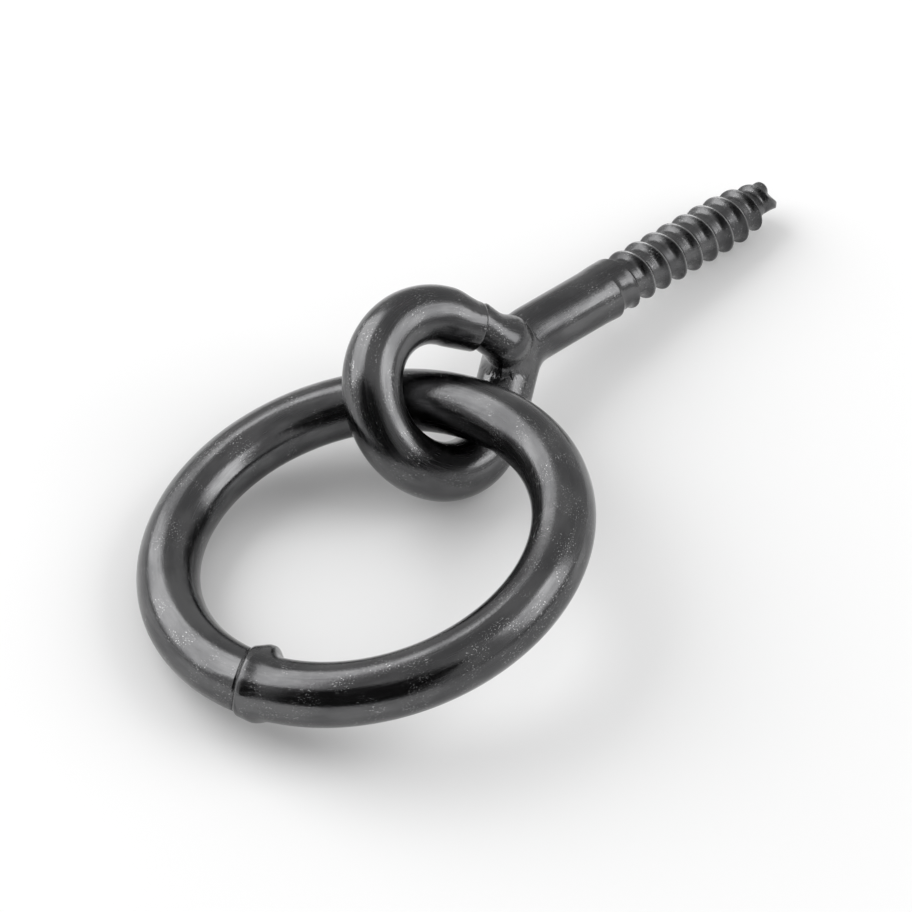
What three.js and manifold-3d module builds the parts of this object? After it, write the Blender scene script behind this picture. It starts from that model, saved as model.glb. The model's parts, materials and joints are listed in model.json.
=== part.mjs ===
// A screw eye with a loose welded ring, in black steel.
// Two pieces: a rod with a wood thread whose other end is bent round into a welded eye,
// and a closed ring of slightly thicker rod that hangs in the eye.
// Millimetres, +Z up. The two pieces lie on a flat surface at Z = 0, with the screw's
// axis above the X axis, its tip towards +X, and the origin under the middle of the box.

import * as THREE from 'three';
import { mergeVertices } from 'three/addons/utils/BufferGeometryUtils.js';
import Module from 'manifold-3d';

const wasm = await Module();
wasm.setup();

// ---------------------------------------------------------------- driving dimensions

// ring
const RING_ROD = 8.0; // diameter of the ring's rod
const RING_INSIDE = 42.0; // clear width inside the ring
const FLASH_HEIGHT = 0.9; // how far the squeezed-out metal at the butt weld stands proud
const FLASH_WIDTH = 3.6; // its width along the rod
const FLASH_ANGLE = 171; // degrees round the ring from the stretch that is in the eye

// eye screw
const EYE_ROD = 7.75; // diameter of the bent rod
const EYE_PLAY = 4.8; // how much wider the eye's hole is than the ring's rod
const ARM_SLOPE = 38.8; // degrees between the shank and the straight stretch after the neck
const END_SLOPE = 35; // the same for the straight stretch before the free end
const END_DRAWN_IN = 0.95; // how much nearer to the middle of the eye that stretch passes
const NECK_BEND = 9.4; // radius of the neck, at the rod's middle line
const EYE_RISE = 5.1; // how far the bend climbs out of its plane, so that its end laps the neck
const END_CREASE = 4.34; // how far across from the shank's line the pressed free end starts
const END_ROD = 6.7; // diameter of the free end, pressed down where it is welded to the neck
const END_LENGTH = 7.6; // its length
const END_DIP = 12; // degrees that it dips further towards the neck
const SHANK = 7.65; // diameter of the plain shank
const SHANK_LENGTH = 34.6; // from the middle of the eye to the first turn of thread
const THREAD_LENGTH = 31.6; // from the first turn to the tip
const THREAD_OUTSIDE = 7.5; // diameter over the crests
const THREAD_ROOT = 5.7; // diameter between the crests
const THREAD_PITCH = 3.1;
const CREST_WIDTH = 0.25; // flat left on a crest
const RIDGE_FOOT = 2.2; // width of a turn at its foot
const LOW_CREST = 0.15; // how far the crest is below the core's skin where the thread begins
const RUN_IN = 0.8; // turns over which the crest grows to its full height
const FADE_OUT = 0.45; // share of the tapered end over which the crest dies away
const CORE_TAPER = 0.62; // share of its diameter that the core loses to the last turn
const POINT_LENGTH = 6.5; // length of the tapered end
const TIP = 1.5; // diameter of the blunt tip

// how far one shape of a piece runs into the next, so that they join
const SHANK_OVERLAP = 4.7; // the bent rod into the shank
const END_SUNK = 2.3; // the free end into the bent rod
const RIDGE_SUNK = 0.4; // the thread's ridge into its core
const FLASH_SUNK = 0.2; // the weld's collar into the ring's rod

// how the two pieces lie, in degrees
const SCREW_DROP = 5.97; // the shank slopes down to its tip
const EYE_LEAN = 43.94; // the eye's plane leans this far over from lying flat
const RING_TURN = 204.7; // which way the ring's middle lies, round the eye's own axis from the shank
const RING_RISE = 10.0; // how steeply it lies out of the eye's plane
const RING_ROLL = 54.26; // how far the ring's plane is rolled over from the eye's plane

// where the ring's middle line goes through the eye's plane, as shares of the eye's play
const RING_BACK = 0.1625; // away from the shank
const RING_ASIDE = 0.2125; // across the shank

// fineness of the faceted surfaces
const SIDES = 24; // round a rod, an even number
const RING_STEPS = 80; // round the ring
const EYE_STEPS = 60; // along the bent rod
const TURN_STEPS = 18; // round one turn of thread

const degrees = THREE.MathUtils.degToRad;

// ---------------------------------------------------------------- solids

function toSolid(geometry) {
  const bare = geometry.index ? geometry.toNonIndexed() : geometry.clone();
  bare.deleteAttribute('normal');
  bare.deleteAttribute('uv');
  const merged = mergeVertices(bare, 1e-4);
  return new wasm.Manifold(
    new wasm.Mesh({
      numProp: 3,
      vertProperties: new Float32Array(merged.attributes.position.array),
      triVerts: new Uint32Array(merged.index.array),
    })
  );
}

function toGeometry(solid) {
  const mesh = solid.getMesh();
  const geometry = new THREE.BufferGeometry();
  geometry.setAttribute('position', new THREE.BufferAttribute(mesh.vertProperties, 3));
  geometry.setIndex(new THREE.BufferAttribute(mesh.triVerts, 1));
  geometry.computeVertexNormals();
  return geometry;
}

function blackSteel(color, roughness) {
  return new THREE.MeshStandardMaterial({ color, roughness, metalness: 0.9 });
}

// a round section, for a rod swept along a curve
function rodSection(diameter) {
  const section = new THREE.Shape();
  section.absarc(0, 0, diameter / 2, 0, 2 * Math.PI);
  return section;
}

// ---------------------------------------------------------------- ring

const ringRadius = (RING_INSIDE + RING_ROD) / 2;

// The squeezed-out metal of the butt weld: a short barrel on the rod, thickest in its middle.
function weldFlash() {
  const radius = RING_ROD / 2;
  const half = FLASH_WIDTH / 2;
  const profile = [
    [0, -half],
    [radius - FLASH_SUNK, -half],
    [radius + 0.6 * FLASH_HEIGHT, -half / 2],
    [radius + FLASH_HEIGHT, 0],
    [radius + 0.6 * FLASH_HEIGHT, half / 2],
    [radius - FLASH_SUNK, half],
    [0, half],
  ].map(([across, along]) => new THREE.Vector2(across, along));
  const angle = degrees(FLASH_ANGLE);
  const flash = new THREE.LatheGeometry(profile, SIDES);
  flash.rotateZ(angle);
  flash.translate(ringRadius * Math.cos(angle), ringRadius * Math.sin(angle), 0);
  return flash;
}

function ringGeometry() {
  const rod = toSolid(new THREE.TorusGeometry(ringRadius, RING_ROD / 2, SIDES, RING_STEPS));
  return toGeometry(rod.add(toSolid(weldFlash())));
}

// ---------------------------------------------------------------- eye screw
// Drawn with the middle of the eye at the origin, the shank along +X and the eye in the XY
// plane. The bend climbs evenly from the neck to the free end, so the shank lies half of the
// climb below that plane and the free end half of it above.

const eyeHole = RING_ROD + EYE_PLAY;
const eyeRadius = (eyeHole + EYE_ROD) / 2;
const armSlope = degrees(ARM_SLOPE);
const endSlope = degrees(END_SLOPE);
const armMeets = eyeRadius / Math.sin(armSlope); // where the arm's line crosses the shank's
const neckStart = armMeets + NECK_BEND * Math.tan(armSlope / 2);

// the neck: an arc from the shank round to the slope of the arm
function neckPoints(steps) {
  const points = [];
  for (let step = 0; step <= steps; step += 1) {
    const turn = (step / steps) * armSlope;
    points.push([neckStart - NECK_BEND * Math.sin(turn), NECK_BEND * (Math.cos(turn) - 1)]);
  }
  return points;
}

// the eye's bend: an arc about its middle, drawn in smoothly over its last quarter turn
function bendPoints(steps) {
  const from = armSlope - Math.PI / 2;
  const to = Math.PI / 2 - endSlope - 2 * Math.PI;
  const points = [];
  for (let step = 0; step <= steps; step += 1) {
    const turn = THREE.MathUtils.lerp(from, to, step / steps);
    const drawn = THREE.MathUtils.clamp((to + Math.PI / 2 - turn) / (Math.PI / 2), 0, 1);
    const radius = eyeRadius - END_DRAWN_IN * drawn ** 2;
    points.push([radius * Math.cos(turn), radius * Math.sin(turn)]);
  }
  return points;
}

// where the pressed free end starts, down the last slope from where the bend leaves off
function creasePoint(leave) {
  const run = (leave[1] - END_CREASE) / Math.sin(endSlope);
  return [leave[0] + run * Math.cos(endSlope), END_CREASE];
}

// The rod's middle line: out of the shank, round the neck, round the eye, and back
// to the neck, climbing in proportion to the length gone.
function eyeCurve() {
  const shankEnd = [neckStart + SHANK_OVERLAP, 0];
  const bend = bendPoints(18);
  const leave = bend[bend.length - 1];
  const flat = [shankEnd, ...neckPoints(4), ...bend, creasePoint(leave)];
  const gone = [0];
  for (let i = 1; i < flat.length; i += 1) {
    gone.push(gone[i - 1] + Math.hypot(flat[i][0] - flat[i - 1][0], flat[i][1] - flat[i - 1][1]));
  }
  const climbFrom = gone[1];
  const climbTo = gone[gone.length - 1];
  const points = flat.map(([x, y], i) => {
    const share = Math.max(0, (gone[i] - climbFrom) / (climbTo - climbFrom));
    return new THREE.Vector3(x, y, (share - 0.5) * EYE_RISE);
  });
  return new THREE.CatmullRomCurve3(points, false, 'centripetal');
}

function bentRod(curve) {
  return new THREE.ExtrudeGeometry(rodSection(EYE_ROD), {
    steps: EYE_STEPS,
    curveSegments: SIDES / 2,
    extrudePath: curve,
    bevelEnabled: false,
  });
}

// The pressed free end: a rod with a rounded tip that goes on from the bend and dips to the neck.
function freeEnd(curve) {
  const radius = END_ROD / 2;
  const profile = [new THREE.Vector2(0, -END_SUNK), new THREE.Vector2(radius, -END_SUNK)];
  const tipSteps = 6;
  for (let step = 0; step <= tipSteps; step += 1) {
    const turn = (step / tipSteps) * (Math.PI / 2);
    const along = END_LENGTH - radius + radius * Math.sin(turn);
    profile.push(new THREE.Vector2(step === tipSteps ? 0 : radius * Math.cos(turn), along));
  }
  const end = new THREE.LatheGeometry(profile, SIDES);
  const slope = endSlope + degrees(END_DIP);
  const heading = new THREE.Vector3(Math.cos(slope), -Math.sin(slope), 0);
  end.applyQuaternion(new THREE.Quaternion().setFromUnitVectors(new THREE.Vector3(0, 1, 0), heading));
  const start = curve.getPoint(1);
  return end.translate(start.x, start.y, start.z);
}

// The plain shank, the thread's core and the tapered point, turned about the X axis.
function shankCore() {
  const start = neckStart + SHANK_OVERLAP / 3;
  const end = SHANK_LENGTH + THREAD_LENGTH;
  const profile = [
    [0, start],
    [SHANK / 2, start],
    [SHANK / 2, SHANK_LENGTH - THREAD_PITCH / 4],
    [THREAD_ROOT / 2, SHANK_LENGTH + THREAD_PITCH / 4],
    [THREAD_ROOT / 2, end - POINT_LENGTH],
    [(THREAD_ROOT + TIP) / 4 + 0.1 * THREAD_ROOT, end - POINT_LENGTH / 2],
    [TIP / 2, end - TIP / 4],
    [TIP / 4, end],
    [0, end],
  ].map(([across, along]) => new THREE.Vector2(across, along));
  const core = new THREE.LatheGeometry(profile, SIDES);
  core.rotateZ(-Math.PI / 2);
  return core.translate(0, 0, -EYE_RISE / 2);
}

// One ridge wound round the core as a right-hand helix, its section a blunt triangle
// whose foot is sunk in the core. Its height grows over the first turn and dies away at the tip.
function threadRidge() {
  const start = SHANK_LENGTH - 0.5 * THREAD_PITCH;
  const turns = (THREAD_LENGTH - 0.5 * THREAD_PITCH) / THREAD_PITCH;
  const pointStart = SHANK_LENGTH + THREAD_LENGTH - POINT_LENGTH;
  const steps = Math.round(turns * TURN_STEPS);
  const foot = RIDGE_FOOT / 2;
  const positions = [];
  const index = [];
  for (let step = 0; step <= steps; step += 1) {
    const turn = (step / TURN_STEPS) * 2 * Math.PI;
    const middle = start + (step / TURN_STEPS) * THREAD_PITCH;
    const taper = THREE.MathUtils.clamp((middle - pointStart) / POINT_LENGTH, 0, 1);
    const core = (THREAD_ROOT / 2) * (1 - CORE_TAPER * taper);
    const rise = Math.min(1, step / (RUN_IN * TURN_STEPS)) * Math.min(1, (1 - taper) / FADE_OUT);
    const crest = core - LOW_CREST + (THREAD_OUTSIDE / 2 - THREAD_ROOT / 2 + LOW_CREST) * rise;
    const section = [
      [core - RIDGE_SUNK, -foot],
      [crest, -CREST_WIDTH / 2],
      [crest, CREST_WIDTH / 2],
      [core - RIDGE_SUNK, foot],
    ];
    for (const [radius, shift] of section) {
      positions.push(middle + shift, radius * Math.cos(turn), radius * Math.sin(turn));
    }
  }
  const corners = 4;
  for (let step = 0; step < steps; step += 1) {
    for (let corner = 0; corner < corners; corner += 1) {
      const next = (corner + 1) % corners;
      const a = step * corners + corner;
      const b = step * corners + next;
      index.push(a, a + corners, b, b, a + corners, b + corners);
    }
  }
  const last = steps * corners;
  index.push(0, 1, 2, 0, 2, 3, last, last + 2, last + 1, last, last + 3, last + 2);
  const ridge = new THREE.BufferGeometry();
  ridge.setAttribute('position', new THREE.Float32BufferAttribute(positions, 3));
  ridge.setIndex(index);
  return ridge.translate(0, 0, -EYE_RISE / 2);
}

function eyeScrewGeometry() {
  const curve = eyeCurve();
  const rod = toSolid(bentRod(curve)).add(toSolid(freeEnd(curve)));
  return toGeometry(rod.add(toSolid(shankCore())).add(toSolid(threadRidge())));
}

// ---------------------------------------------------------------- how the pieces lie

// The ring's place is worked out from the eye: its rod goes through the eye's plane close to
// the middle of the eye, and the ring's own middle lies one ring radius from there.
function placeRing(mesh) {
  const toMiddle = new THREE.Vector3(
    Math.cos(degrees(RING_RISE)) * Math.cos(degrees(RING_TURN)),
    Math.cos(degrees(RING_RISE)) * Math.sin(degrees(RING_TURN)),
    Math.sin(degrees(RING_RISE))
  );
  const flat = new THREE.Vector3(0, 0, 1).addScaledVector(toMiddle, -toMiddle.z).normalize();
  const normal = flat.applyAxisAngle(toMiddle, degrees(RING_ROLL));
  const through = toMiddle.clone().negate();
  const side = normal.clone().cross(through);
  mesh.quaternion.setFromRotationMatrix(new THREE.Matrix4().makeBasis(through, side, normal));
  mesh.position.set(-RING_BACK * EYE_PLAY, -RING_ASIDE * EYE_PLAY, 0).addScaledVector(toMiddle, ringRadius);
}

const eyeScrew = new THREE.Mesh(eyeScrewGeometry(), blackSteel(0x2b2b2c, 0.42));
eyeScrew.name = 'eye_screw';
const ring = new THREE.Mesh(ringGeometry(), blackSteel(0x303031, 0.38));
ring.name = 'ring';
placeRing(ring);

const lying = new THREE.Group();
lying.add(eyeScrew, ring);
lying.rotation.set(degrees(EYE_LEAN), degrees(SCREW_DROP), 0, 'ZYX');

const part = new THREE.Group();
part.add(lying);
part.updateMatrixWorld(true);
const box = new THREE.Box3().setFromObject(part, true);
lying.position.set(-(box.min.x + box.max.x) / 2, -(box.min.y + box.max.y) / 2, -box.min.z);

export default part;
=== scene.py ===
# A black steel screw eye with a loose welded ring, lying on a flat surface.
# Two pieces: the screw eye, which is one rod with a wood thread at one end and a welded eye at
# the other, and the ring of slightly thicker rod that hangs in the eye.
import json

import bpy
import numpy as np
from mathutils import Matrix, Vector


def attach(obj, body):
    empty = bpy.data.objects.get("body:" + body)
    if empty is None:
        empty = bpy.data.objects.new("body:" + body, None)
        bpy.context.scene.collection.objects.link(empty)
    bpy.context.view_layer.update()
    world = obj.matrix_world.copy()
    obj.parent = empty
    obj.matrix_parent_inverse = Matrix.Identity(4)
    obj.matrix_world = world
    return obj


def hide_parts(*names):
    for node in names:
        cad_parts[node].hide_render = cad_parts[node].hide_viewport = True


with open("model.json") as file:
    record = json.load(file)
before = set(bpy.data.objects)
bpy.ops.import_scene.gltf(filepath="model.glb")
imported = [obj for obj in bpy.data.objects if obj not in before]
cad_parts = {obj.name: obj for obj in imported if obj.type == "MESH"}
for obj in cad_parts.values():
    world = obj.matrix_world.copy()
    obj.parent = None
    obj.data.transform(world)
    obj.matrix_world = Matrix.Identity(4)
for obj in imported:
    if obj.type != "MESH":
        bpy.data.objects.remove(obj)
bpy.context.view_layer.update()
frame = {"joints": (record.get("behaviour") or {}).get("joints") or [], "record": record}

# ---------------------------------------------------------------------------- screw eye
# One steel rod. Its one end has a rolled right-hand wood thread with a blunt gimlet point, then
# comes a plain shank. Past the neck the rod is bent round into the eye, and its free end is
# pressed down on the neck and welded there.

MM = 0.001
EYE_LEAN = np.radians(43.94)
EYE_ROD = 7.62 * MM
EYE_RADIUS = 10.27 * MM
EYE_RISE = 5.1 * MM
ARM_SLOPE = np.radians(38.8)
NECK_LENGTH = 8.4 * MM

# the last part of the eye, as far as the crease where the free end was pressed down
END_SLOPE = np.radians(35.0)
END_DRAWN_IN = 0.95 * MM
END_CREASE = 5.35 * MM
PRESSED_DEPTH = 1.2 * MM
PRESSED_LENGTH = 4.2 * MM
CREASE_ROUNDING = 0.36 * MM
CREASE_STEP = 0.09

# the free end past the crease, and the weld bead between it and the neck
END_ROD = 5.6 * MM
END_LENGTH = 7.4 * MM
END_BURIED = 1.0 * MM
END_DIP = np.radians(25.0)
END_LIFT = 0.03
BEAD = 5.4 * MM
BEAD_AT = np.array([12.9, 1.5, 1.9]) * MM
BEAD_FILLET = 2.0 * MM
WELD_FILLET = 2.6 * MM
WELD_LUMPS = 0.07 * MM

# the shank, and the thread with its crest's and root's radii at distances from the tip
SHANK = 7.6 * MM
SHANK_LENGTH = 34.6 * MM
SHANK_SWELL = 0.12 * MM
THREAD_LENGTH = 31.51 * MM
THREAD_PITCH = 3.1 * MM
THREAD_START = 0.35
RUN_OUT = 4.5 * MM
CREST_FROM_TIP = np.array([0, 0.6, 1.4, 2.6, 4.0, 6.0, 8.5, 10]) * MM
CREST_RADIUS = np.array([1.75, 1.95, 2.35, 2.8, 3.1, 3.45, 3.7, 3.75]) * MM
ROOT_FROM_TIP = np.array([0, 0.9, 2.0, 5.0, 9.0]) * MM
ROOT_RADIUS = np.array([1.0, 1.1, 1.6, 2.45, 2.85]) * MM
CREST_SHARE = 0.3
VALLEY_SHARE = 0.66
VALLEY_BEND = 2.3
TIP_BLUNTING = 0.22
TIP_ROUNDING = 1.5 * MM
NUB_ASIDE = 0.95 * MM

SCREW_BLACK = (0.078, 0.078, 0.08)
SCREW_PALE = (0.128, 0.128, 0.13)
SCREW_GLOSS = 0.2
BARE_STEEL = (0.62, 0.62, 0.62)
CREST_RUB = 0.32

SIDES = 104
TURN = 2 * np.pi


def ease(value, low, high):
    """0 below low, 1 above high, and the smooth cubic 3t^2 - 2t^3 between them."""
    share = np.clip((value - low) / (high - low), 0.0, 1.0)
    return share * share * (3.0 - 2.0 * share)


def ripple(points, size, seed):
    """A smooth irregular value from -1 to 1: the mean of seven sine waves of about that size,
    each across a random direction with a random start."""
    draw = np.random.default_rng(seed)
    ways = draw.normal(size=(7, 3))
    ways /= np.linalg.norm(ways, axis=1)[:, None]
    rates = TURN / size * draw.uniform(0.6, 1.5, 7)
    waves = np.sin(points @ (ways * rates[:, None]).T + draw.uniform(0, TURN, 7))
    return waves.mean(axis=-1) * 1.8


def across(line):
    """Two unit directions square to a middle line at each of its points: one level with the
    XY plane, and one out of it."""
    tangent = np.gradient(line, axis=0)
    tangent /= np.linalg.norm(tangent, axis=1)[:, None]
    side = np.cross([0.0, 0.0, 1.0], tangent)
    side /= np.linalg.norm(side, axis=1)[:, None]
    return side, np.cross(tangent, side)


def rod_rings(line, radius, angles):
    """Rings of points: line + radius * (cos(angle) * side + sin(angle) * out)."""
    side, out = across(line)
    level = np.cos(angles)[None, :, None] * side[:, None]
    upward = np.sin(angles)[None, :, None] * out[:, None]
    return line[:, None] + radius[..., None] * (level + upward)


def skin(name, rings, closed, ends=()):
    """A mesh of four-sided faces between neighbouring rings. A closed skin joins its last ring
    to its first, and an open one is drawn in to a point at each end."""
    rows, columns = rings.shape[:2]
    row = np.arange(rows if closed else rows - 1)[:, None]
    column = np.arange(columns)[None, :]
    here = row * columns
    after = (row + 1) % rows * columns
    beside = (column + 1) % columns
    corners = [here + column, here + beside, after + beside, after + column]
    faces = np.stack(corners, axis=-1).reshape(-1, 4).tolist()
    points = rings.reshape(-1, 3)
    for end, pole in enumerate(ends):
        edge = (rows - 1) * columns * end + np.arange(columns)
        fan = [edge, np.roll(edge, -1)]
        fan = fan if end else fan[::-1]
        faces += np.stack([*fan, np.full(columns, len(points))], axis=-1).tolist()
        points = np.vstack([points, pole])
    mesh = bpy.data.meshes.new(name)
    mesh.from_pydata(points.tolist(), [], faces)
    mesh.validate()
    mesh.shade_smooth()
    piece = bpy.data.objects.new(name, mesh)
    bpy.context.scene.collection.objects.link(piece)
    return piece


def remember(mesh, name, values):
    """Stores one number or one vector for each point of a mesh, for its material to read."""
    is_vector = values.ndim == 2
    layer = mesh.attributes.new(name, "FLOAT_VECTOR" if is_vector else "FLOAT", "POINT")
    layer.data.foreach_set("vector" if is_vector else "value", values.ravel())


class Nodes:
    """A material's node tree, with short calls to add a node and to join its sockets."""

    def __init__(self, name):
        self.material = bpy.data.materials.new(name)
        self.material.use_nodes = True
        self.tree = self.material.node_tree
        self.shader = self.tree.nodes["Principled BSDF"]

    def put(self, value, socket):
        """Joins an output to the socket, or sets the socket to a constant."""
        if isinstance(value, bpy.types.NodeSocket):
            self.tree.links.new(value, socket)
        elif isinstance(value, tuple) and socket.type == "RGBA":
            socket.default_value = (*value, 1.0)
        else:
            socket.default_value = value

    def add(self, kind, links=(), **settings):
        node = self.tree.nodes.new(kind)
        for key, value in settings.items():
            setattr(node, key, value)
        for socket, value in dict(links).items():
            self.put(value, node.inputs[socket])
        return node

    def noise(self, where, scale, detail, roughness=0.5):
        links = {"Vector": where, "Scale": scale, "Detail": detail, "Roughness": roughness}
        return self.add("ShaderNodeTexNoise", links).outputs["Fac"]

    def span(self, value, low, high, to_low=0.0, to_high=1.0):
        """The value, spread from low..high to to_low..to_high and kept inside it."""
        links = {"Value": value, "From Min": low, "From Max": high, "To Min": to_low, "To Max": to_high}
        return self.add("ShaderNodeMapRange", links, interpolation_type="SMOOTHSTEP").outputs["Result"]

    def maths(self, operation, first, second):
        return self.add("ShaderNodeMath", {0: first, 1: second}, operation=operation).outputs["Value"]

    def stretched(self, where, scale):
        return self.add("ShaderNodeMapping", {"Vector": where, "Scale": scale}).outputs["Vector"]

    def attribute(self, name, output):
        return self.add("ShaderNodeAttribute", attribute_name=name).outputs[output]

    def tint(self, share, dark, pale):
        node = self.add("ShaderNodeMix", data_type="RGBA")
        sockets = [socket for socket in node.inputs if socket.enabled]
        for socket, value in zip(sockets, (share, dark, pale)):
            self.put(value, socket)
        return [socket for socket in node.outputs if socket.enabled][0]


def black_steel(name, black, pale, gloss):
    """Blacked steel: black varies to pale in clouds and turns to bare steel where the point
    attribute rubbed is high or a speck has gone through; gloss is its middle roughness. Where
    the attribute rolled is high it is duller, with fine lines round the rod. The attribute
    straight, in millimetres, is where the point lay on the rod before it was bent."""
    nodes = Nodes(name)
    straight = nodes.attribute("straight", "Vector")
    rubbed = nodes.attribute("rubbed", "Fac")
    rolled = nodes.attribute("rolled", "Fac")

    cloud_noise = nodes.noise(nodes.stretched(straight, (0.35, 1.0, 1.0)), scale=0.35, detail=4.0)
    clouds = nodes.span(cloud_noise, low=0.35, high=0.68)
    along_rod = nodes.stretched(straight, (0.05, 1.0, 1.0))
    draw_marks = nodes.noise(along_rod, scale=3.4, detail=3.0, roughness=0.6)
    round_rod = nodes.stretched(straight, (1.0, 0.12, 0.12))
    rolled_lines = nodes.noise(round_rod, scale=3.2, detail=3.0, roughness=0.6)
    pits = nodes.noise(straight, scale=2.6, detail=5.0, roughness=0.62)

    patches = nodes.span(nodes.noise(straight, scale=0.32, detail=2.0), low=0.47, high=0.62)
    grain_noise = nodes.noise(nodes.stretched(straight, (0.7, 1.0, 1.0)), 6.5, 2.0, 0.6)
    specks = nodes.maths("MULTIPLY", nodes.span(grain_noise, low=0.6, high=0.7), patches)
    worn = nodes.maths("MAXIMUM", rubbed, nodes.maths("MULTIPLY", specks, 0.6))
    blacked = nodes.tint(clouds, black, pale)
    nodes.put(nodes.tint(worn, blacked, BARE_STEEL), nodes.shader.inputs["Base Color"])

    dull = nodes.span(draw_marks, low=0.3, high=0.7, to_low=gloss - 0.06, to_high=gloss + 0.08)
    dull = nodes.maths("ADD", dull, nodes.span(clouds, low=0.0, high=1.0, to_low=0.03, to_high=-0.03))
    dull = nodes.maths("ADD", dull, nodes.maths("MULTIPLY", rolled, 0.1))
    nodes.put(dull, nodes.shader.inputs["Roughness"])
    nodes.shader.inputs["Metallic"].default_value = 1.0

    height = nodes.maths("MULTIPLY", draw_marks, 0.5)
    height = nodes.maths("ADD", height, nodes.maths("MULTIPLY", pits, 0.9))
    height = nodes.maths("ADD", height, nodes.maths("MULTIPLY", specks, 0.5))
    lines = nodes.maths("MULTIPLY", rolled, rolled_lines)
    height = nodes.maths("ADD", height, nodes.maths("MULTIPLY", lines, 3.0))
    bump = nodes.add("ShaderNodeBump", {"Strength": 0.5, "Distance": 0.03 * MM, "Height": height})
    nodes.put(bump.outputs["Normal"], nodes.shader.inputs["Normal"])
    return nodes.material


# The screw eye was dropped on the surface: its thread's tip and the edge of its eye rest there.
# Its own frame has the middle of the eye at the origin, +X down the shank and +Z out of the eye.
eye_middle = np.array(frame["joints"][0]["pos_m"])
shank_way = np.array(frame["record"]["mounts"][0]["axis"])
shank_way /= np.linalg.norm(shank_way)
level = np.array([0.0, 1.0, 0.0])
eye_out = np.cos(EYE_LEAN) * np.cross(shank_way, level) - np.sin(EYE_LEAN) * level
eye_axes = np.array([shank_way, np.cross(eye_out, shank_way), eye_out])


def placed(points):
    """Points of the screw's own frame, turned by its three axes and moved to the eye's middle."""
    return points @ eye_axes + eye_middle


# The neck's slope eases from the shank's to the arm's over NECK_LENGTH. Their lines would meet at
# a corner that is equally far from both of its ends.
neck_step = NECK_LENGTH / 80
neck_slope = ARM_SLOPE * ease(np.arange(81) / 80, 0, 1)
neck_down = np.cumsum(np.sin(neck_slope)) * neck_step
neck_back = np.cumsum(np.cos(neck_slope)) * neck_step
neck_start = (EYE_RADIUS + neck_down[-1]) / np.sin(ARM_SLOPE)
tip_at = SHANK_LENGTH + THREAD_LENGTH


def eye_line():
    """The bent rod's middle line from the shank to the crease where its free end was pressed:
    shank, neck, arc round the eye that is drawn in over its last quarter turn, last slope.
    It climbs by EYE_RISE, evenly after the neck, and its points are 0.3 mm apart, or
    0.08 mm beside the crease."""
    neck = np.stack([neck_start - neck_back, -neck_down], axis=1)
    first = ARM_SLOPE - np.pi / 2
    last = np.pi / 2 - END_SLOPE - TURN
    turn = np.linspace(first, last, 400)
    quarter_share = np.clip((last + np.pi / 2 - turn) / (np.pi / 2), 0, 1)
    radius = EYE_RADIUS - END_DRAWN_IN * quarter_share ** 2
    bend = np.stack([radius * np.cos(turn), radius * np.sin(turn)], axis=1)
    run = (bend[-1, 1] - END_CREASE) / np.sin(END_SLOPE)
    crease = [bend[-1, 0] + run * np.cos(END_SLOPE), END_CREASE]
    flat = np.vstack([neck, bend, crease])
    gone = np.append(0, np.cumsum(np.linalg.norm(np.diff(flat, axis=0), axis=1)))
    coarse = np.arange(0, gone[-1] - 1.2 * MM, 0.3 * MM)
    fine = gone[-1] - np.arange(15, -1, -1) * 0.08 * MM
    reached = np.append(coarse, fine)
    climb = np.cumsum(ease(reached, 0, NECK_LENGTH / 2) * np.gradient(reached))
    rise = (climb / climb[-1] - 0.5) * EYE_RISE
    flat_x = np.interp(reached, gone, flat[:, 0])
    flat_y = np.interp(reached, gone, flat[:, 1])
    return np.stack([flat_x, flat_y, rise], axis=1)


def thread_radius(along, angle):
    """Distance of the threaded surface from its axis. Each turn of phase is a sharp crest and a
    rounded valley; the valley deepens over the first turn, and both shrink towards the tip,
    where the crest grows blunter and the end is rounded off."""
    turns = (along - SHANK_LENGTH) / THREAD_PITCH - angle / TURN + THREAD_START
    phase = turns - np.floor(turns)
    travelled = np.floor(turns) + angle / TURN + 0.5
    from_crest = np.abs(phase - 0.5) * 2
    before_tip = tip_at - along
    blunt = TIP_BLUNTING * (1 - ease(before_tip, 0, 3.5 * MM))
    fallen = np.clip((from_crest + blunt - CREST_SHARE) / VALLEY_SHARE, 0, 1) ** VALLEY_BEND
    crest = np.interp(before_tip, CREST_FROM_TIP, CREST_RADIUS)
    root = np.interp(before_tip, ROOT_FROM_TIP, ROOT_RADIUS)
    to_tip = np.clip(before_tip / TIP_ROUNDING, 0, 1)
    rounded_end = np.sqrt(np.clip(1 - (1 - to_tip) ** 2, 0.03, 1))
    full = (crest - (crest - root) * (1 - fallen)) * rounded_end
    begun = ease(travelled, 0.0, 1.0)
    swell = SHANK_SWELL * ease(along, SHANK_LENGTH - 4 * MM, SHANK_LENGTH - 1 * MM)
    return (SHANK / 2 + swell) * (1 - begun) + full * begun


bend = eye_line()
thread_stations = np.linspace(tip_at, SHANK_LENGTH - RUN_OUT, 470)[:-1]
shank_stations = np.linspace(SHANK_LENGTH - RUN_OUT, neck_start, 25)[:-1]
straight_part = np.append(thread_stations, shank_stations)
nub_aside = NUB_ASIDE * ease(straight_part, tip_at - 2.6 * MM, tip_at - 0.6 * MM)
shank_level = np.full_like(straight_part, -EYE_RISE / 2)
middle_line = np.vstack([np.stack([straight_part, nub_aside, shank_level], axis=1), bend])
steps_long = np.linalg.norm(np.diff(middle_line, axis=0), axis=1)
rod_length = np.append(0, np.cumsum(steps_long))
angles = np.arange(SIDES) * TURN / SIDES

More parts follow.
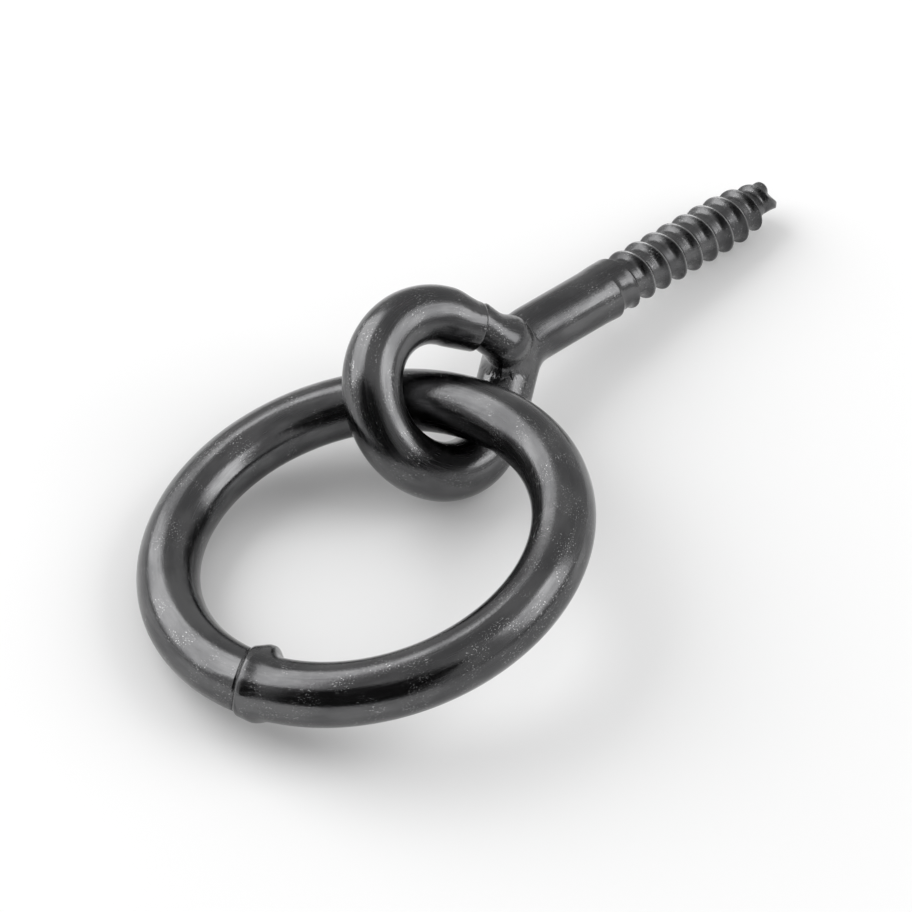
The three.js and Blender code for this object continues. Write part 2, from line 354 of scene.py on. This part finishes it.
radius = np.empty((len(middle_line), SIDES))
on_thread = len(thread_stations)
radius[:on_thread] = thread_radius(thread_stations[:, None], -angles[None, :])
past_shank = rod_length - rod_length[len(straight_part)]
plain_radius = SHANK / 2 + (EYE_ROD - SHANK) / 2 * ease(past_shank, -6 * MM, 0)
radius[on_thread:] = plain_radius[on_thread:, None]
to_crease = rod_length[-1] - rod_length
pressed_side = (0.5 + 0.5 * np.cos(angles)) ** 2
radius -= PRESSED_DEPTH * pressed_side[None, :] * (1 - ease(to_crease, 0, PRESSED_LENGTH))[:, None]
shoulder = np.sqrt(1 - (1 - np.clip(to_crease / CREASE_ROUNDING, 0, 1)) ** 2)
radius *= (1 - CREASE_STEP + CREASE_STEP * shoulder)[:, None]
rings = rod_rings(middle_line, radius, angles)
rod = skin("screw_eye", rings, False, [middle_line[:1], middle_line[-1:]])


def gap_to(points, line, radius):
    """Distance of each point from a round rod's surface."""
    apart = points[:, None] - line[None]
    return np.sqrt((apart ** 2).sum(axis=2).min(axis=1)) - radius


def smooth_least(first, second, mixing):
    """The smaller of two distances, rounded off where they differ by less than mixing."""
    share = np.clip(0.5 + 0.5 * (second - first) / mixing, 0, 1)
    return second * (1 - share) + first * share - mixing * share * (1 - share)


def free_end(heading):
    """The free end's skin: a round rod with a ball for its tip. From its middle line each point
    goes straight out until the smooth least distance to the end, the weld bead and the neck is
    zero, so the three run into each other; a way that leads into the neck stops inside it."""
    ball = END_LENGTH - END_ROD / 2
    tilt = np.append(np.zeros(56), np.linspace(0, np.pi / 2, 40)[1:-1])
    run = np.append(np.linspace(-END_BURIED, ball, 56), np.full(38, ball))
    starts = bend[-1] + run[:, None] * heading
    side = np.cross([0.0, 0.0, 1.0], heading)
    side /= np.linalg.norm(side)
    turns = angles[::2, None]
    round_way = np.cos(turns) * side + np.sin(turns) * np.cross(heading, side)
    ways = np.cos(tilt)[:, None, None] * round_way[None] + np.sin(tilt)[:, None, None] * heading
    reaches = END_ROD / 2 + np.linspace(-0.3, 4.9, 76) * MM
    tries = starts[:, None, None] + ways[:, :, None] * reaches[:, None]
    end_axis = bend[-1] + np.linspace(-END_BURIED, ball, 40)[:, None] * heading
    neck_axis = middle_line[on_thread + 8:on_thread + 100]
    field = np.empty(tries.shape[:3])
    for row, points in enumerate(tries):
        points = points.reshape(-1, 3)
        end_gap = gap_to(points, end_axis, END_ROD / 2)
        bead_gap = np.linalg.norm(points - BEAD_AT, axis=1) - BEAD / 2
        neck_gap = gap_to(points, neck_axis, EYE_ROD / 2)
        stub_gap = smooth_least(end_gap, bead_gap, BEAD_FILLET)
        field[row] = smooth_least(stub_gap, neck_gap, WELD_FILLET).reshape(field.shape[1:])
    inside = np.cumprod(field < 0, axis=2).sum(axis=2)
    last = np.clip(inside, 1, len(reaches) - 1)
    row, column = np.indices(last.shape)
    before = field[row, column, last - 1]
    after = field[row, column, last]
    part = np.clip(before / (before - after), 0, 1)
    reach = reaches[last - 1] + part * (reaches[last] - reaches[last - 1])
    reach *= (0.6 + 0.4 * ease(run, -END_BURIED, -0.2 * MM))[:, None]
    rings = starts[:, None] + ways * reach[..., None]
    lumps = ripple(rings / MM, 1.0, 5) * ease(reach - END_ROD / 2, 0.1 * MM, 0.8 * MM)
    rings += WELD_LUMPS * lumps[..., None] * ways
    return skin("free_end", rings, False, [starts[:1], rings[-1].mean(axis=0, keepdims=True)])


heading = np.array([np.cos(END_SLOPE + END_DIP), -np.sin(END_SLOPE + END_DIP), END_LIFT])
end_piece = free_end(heading / np.linalg.norm(heading))
union = rod.modifiers.new("weld", "BOOLEAN")
union.operation = "UNION"
union.solver = "EXACT"
union.object = end_piece
welded = bpy.data.meshes.new_from_object(rod.evaluated_get(bpy.context.evaluated_depsgraph_get()))
bpy.data.objects.remove(rod)
bpy.data.objects.remove(end_piece)


def on_straight_rod(places):
    """Where each point lay on the straight rod: its length along it, from the nearest point of
    the middle line, and its two offsets from the middle. Done in blocks to spare memory."""
    nearest = np.empty(len(places), int)
    for start in range(0, len(places), 20000):
        apart = places[start:start + 20000, None] - middle_line[None]
        nearest[start:start + 20000] = (apart ** 2).sum(axis=2).argmin(axis=1)
    side, out = across(middle_line)
    offset = places - middle_line[nearest]
    forward = (offset * np.cross(side, out)[nearest]).sum(axis=1)
    sideways = (offset * side[nearest]).sum(axis=1)
    outward = (offset * out[nearest]).sum(axis=1)
    return np.stack([rod_length[nearest] + forward, sideways, outward], axis=1)


places = np.empty(len(welded.vertices) * 3)
welded.vertices.foreach_get("co", places)
places = places.reshape(-1, 3)
straight = on_straight_rod(places)
from_axis = np.hypot(straight[:, 1], straight[:, 2])
on_screw = ease(places[:, 0], SHANK_LENGTH + 1 * MM, SHANK_LENGTH + 4 * MM)

welded.vertices.foreach_set("co", placed(places).ravel())
remember(welded, "straight", straight / MM)
remember(welded, "rubbed", CREST_RUB * on_screw * ease(from_axis, 3.56 * MM, 3.76 * MM))
remember(welded, "rolled", on_screw)
welded.shade_smooth()
welded.update()
screw_eye = bpy.data.objects.new("screw_eye", welded)
bpy.context.scene.collection.objects.link(screw_eye)
welded.materials.clear()
welded.materials.append(black_steel("screw_black", SCREW_BLACK, SCREW_PALE, SCREW_GLOSS))
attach(screw_eye, "eye_screw")
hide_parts("eye_screw")

# ---------------------------------------------------------------------------- ring
# A piece of thicker rod bent round and butt-welded. The weld has pushed out a low collar of
# metal behind a fine crease, highest in a lobe on the ring's inner side and a bulge on its
# outer side.

RING_ROD = 7.93 * MM
RING_INSIDE = 42.06 * MM
RING_TURN = np.radians(204.7)
RING_RISE = np.radians(10.0)
RING_ROLL = np.radians(54.26)
RING_BACK = 0.78 * MM
RING_ASIDE = 1.02 * MM
RING_SIDES = 112
RING_STATIONS = 760

# the weld: its place round the ring, and the height of each part of its collar
WELD_ANGLE = np.radians(171.0)
WELD_CREASE = 0.8 * MM
CREASE_DEPTH = 0.16 * MM
COLLAR_HEIGHT = 0.34 * MM
LOBE_HEIGHT = 1.42 * MM
LOBE_SIDE = 2.95
BULGE_HEIGHT = 0.5 * MM
BULGE_SIDE = -0.8

RING_BLACK = (0.082, 0.082, 0.084)
RING_PALE = (0.135, 0.135, 0.137)
RING_GLOSS = 0.18

# the length on the straight rod that the ring's weld is given, clear of the screw's lengths
RING_ROD_START = 200

ring_radius = (RING_INSIDE + RING_ROD) / 2


def turned(vector, axis, angle):
    """A vector turned about a unit axis, by Rodrigues' formula."""
    return (vector * np.cos(angle) + np.cross(axis, vector) * np.sin(angle)
            + axis * (axis @ vector) * (1 - np.cos(angle)))


def ring_axes():
    """The ring's middle and its axes in the screw's frame: from its middle to the stretch that
    is in the eye, across that in its plane, and out of its plane."""
    flat_way = np.cos(RING_RISE) * np.array([np.cos(RING_TURN), np.sin(RING_TURN), 0.0])
    to_middle = flat_way + np.array([0.0, 0.0, np.sin(RING_RISE)])
    upright = np.array([0.0, 0.0, 1.0]) - to_middle[2] * to_middle
    out_way = turned(upright / np.linalg.norm(upright), to_middle, RING_ROLL)
    through = -to_middle
    middle = np.array([-RING_BACK, -RING_ASIDE, 0.0]) + ring_radius * to_middle
    return middle, np.array([through, np.cross(out_way, through), out_way])


def ring_stations():
    """Angles round the ring, from one side of the weld's crease to the other, several times as
    close together near it."""
    even = np.linspace(-1, 1, RING_STATIONS + 1)[:-1]
    seam = WELD_ANGLE - WELD_CREASE / ring_radius
    return seam + np.pi + np.pi * (even + 0.22 * np.sin(np.pi * even))


def side_share(angle, middle, width):
    """1 at that angle round the rod, falling to 0 away from it like a bell of that width."""
    return np.exp(-(((angle - middle + np.pi) % TURN - np.pi) / width) ** 2)


def weld_height(past, angle):
    """How far the skin stands proud of the rod, for a distance past the weld's middle. The
    whole collar is shifted by the angle, so its crease is a bent line. A steep front rises
    behind the crease, and the collar, the lobe and the bulge fall back to the rod after it."""
    shift = 0.5 + 2.4 * side_share(angle, 2.9, 1.0) + 1.0 * side_share(angle, -0.6, 0.7)
    past = past + shift * MM
    front = ease(past, -WELD_CREASE, -0.15 * MM)
    collar = np.exp(-(np.maximum(past, 0) / (1.3 * MM)) ** 1.6)
    lobe_length = (1 - ease(past, 2.4 * MM, 4.3 * MM)) * ease(past, -WELD_CREASE, 2.0 * MM)
    lobe = side_share(angle, LOBE_SIDE, 0.66) * lobe_length
    bulge = side_share(angle, BULGE_SIDE, 0.6) * np.exp(-((past - 1.5 * MM) / (1.1 * MM)) ** 2)
    crease = np.exp(-((past + WELD_CREASE) / (0.09 * MM)) ** 2)
    metal = COLLAR_HEIGHT * collar + LOBE_HEIGHT * lobe + BULGE_HEIGHT * bulge
    return metal * front - CREASE_DEPTH * crease


stations = ring_stations()
ring_angles = np.arange(RING_SIDES) * -TURN / RING_SIDES
from_seam = (stations - stations[0]) * ring_radius
half_way = np.pi * ring_radius
past_weld = (from_seam + half_way) % (2 * half_way) - half_way - WELD_CREASE
around, along_ring = np.meshgrid(ring_angles, past_weld)
proud = weld_height(along_ring, around)
reach = RING_ROD / 2 + proud
inward = reach * np.cos(around)
upward = reach * np.sin(around)
out_flat = np.stack([np.cos(stations), np.sin(stations), 0 * stations], axis=1)
ring_points = out_flat[:, None] * (ring_radius + inward)[..., None]
ring_points[..., 2] = upward
middle, axes = ring_axes()
ring = skin("hanging_ring", placed(ring_points @ axes + middle), True)
along_rod = np.broadcast_to(from_seam[:, None], reach.shape)
straight_ring = np.stack([along_rod, inward, upward], axis=-1).reshape(-1, 3)
remember(ring.data, "straight", straight_ring / MM + RING_ROD_START)
remember(ring.data, "rubbed", 0.25 * ease(proud.ravel(), 0.54 * MM, 0.9 * MM))
ring.data.materials.append(black_steel("ring_black", RING_BLACK, RING_PALE, RING_GLOSS))
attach(ring, "ring")
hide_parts("ring")

# ---------------------------------------------------------------------------- camera
# A long lens from the front left, half way up.

CAMERA_FROM_EYE = np.array([-291.6, -287.8, 399.2]) * MM
CAMERA_RIGHT = Vector((0.7068, -0.7073, 0.0126))
CAMERA_DOWN = Vector((-0.4945, -0.5068, -0.7061))
LENS = 177.9

camera = bpy.data.objects.new("camera", bpy.data.cameras.new("camera"))
camera.data.lens = LENS
camera.data.sensor_width = 36.0
camera.data.clip_start = 0.01
right = CAMERA_RIGHT.normalized()
back = right.cross(-CAMERA_DOWN).normalized()
turn = Matrix((right, back.cross(right), back)).transposed().to_4x4()
camera.matrix_world = Matrix.Translation(Vector(eye_middle + CAMERA_FROM_EYE)) @ turn
bpy.context.scene.collection.objects.link(camera)
bpy.context.scene.camera = camera

# ---------------------------------------------------------------------------- room
# A pale floor, an even pale surround, two large soft lights left and right of the camera, and a
# black card on the camera's side that the steel reflects.

FLOOR_SIZE = 6.0
FLOOR_GAP = 0.2 * MM
FLOOR_GREY = 0.86
CARD_WIDTH = 1.14
CARD_HEIGHT = 0.84
CARD_DISTANCE = 0.75
CARD_GREY = 0.02
LIGHT_DISTANCE = 0.8
SURROUND_GREY = 0.6


def flat_sheet(name, width, height, level, grey, roughness):
    """A matt grey rectangle round its own origin, facing up its own Z."""
    half_x, half_y = width / 2, height / 2
    corners = [(-half_x, -half_y, level), (half_x, -half_y, level),
               (half_x, half_y, level), (-half_x, half_y, level)]
    mesh = bpy.data.meshes.new(name)
    mesh.from_pydata(corners, [], [(0, 1, 2, 3)])
    matt = bpy.data.materials.new(name)
    matt.use_nodes = True
    shader = matt.node_tree.nodes["Principled BSDF"]
    shader.inputs["Base Color"].default_value = (grey, grey, grey, 1)
    shader.inputs["Roughness"].default_value = roughness
    mesh.materials.append(matt)
    sheet = bpy.data.objects.new(name, mesh)
    bpy.context.scene.collection.objects.link(sheet)
    return sheet


def facing_part(azimuth, elevation, distance):
    """A place that far from the eye in that direction, with its own -Z turned to the part."""
    azimuth, elevation = np.radians(azimuth), np.radians(elevation)
    level_way = np.cos(elevation) * np.array([np.cos(azimuth), np.sin(azimuth), 0.0])
    way = Vector(level_way + np.array([0.0, 0.0, np.sin(elevation)]))
    facing = way.to_track_quat("Z", "Y").to_matrix().to_4x4()
    return Matrix.Translation(Vector(eye_middle) + way * distance) @ facing


def soft_light(name, azimuth, elevation, width, height, power):
    light = bpy.data.lights.new(name, "AREA")
    light.shape = "RECTANGLE"
    light.size = width
    light.size_y = height
    light.energy = power
    lamp = bpy.data.objects.new(name, light)
    lamp.matrix_world = facing_part(azimuth, elevation, LIGHT_DISTANCE)
    bpy.context.scene.collection.objects.link(lamp)


flat_sheet("floor", FLOOR_SIZE, FLOOR_SIZE, -FLOOR_GAP, FLOOR_GREY, roughness=0.9)
soft_light("left_light", azimuth=112, elevation=36, width=0.95, height=0.8, power=5.6)
soft_light("right_light", azimuth=-52, elevation=36, width=0.5, height=0.62, power=2.7)

card = flat_sheet("black_card", CARD_WIDTH, CARD_HEIGHT, 0, CARD_GREY, roughness=1.0)
card.matrix_world = facing_part(-151, 27, CARD_DISTANCE)
card.visible_camera = False
card.visible_shadow = False
card.visible_diffuse = False

world = bpy.data.worlds.new("studio")
world.use_nodes = True
surround = (SURROUND_GREY, SURROUND_GREY, SURROUND_GREY, 1)
world.node_tree.nodes["Background"].inputs["Color"].default_value = surround
bpy.context.scene.world = world
bpy.context.scene.view_settings.view_transform = "Standard"
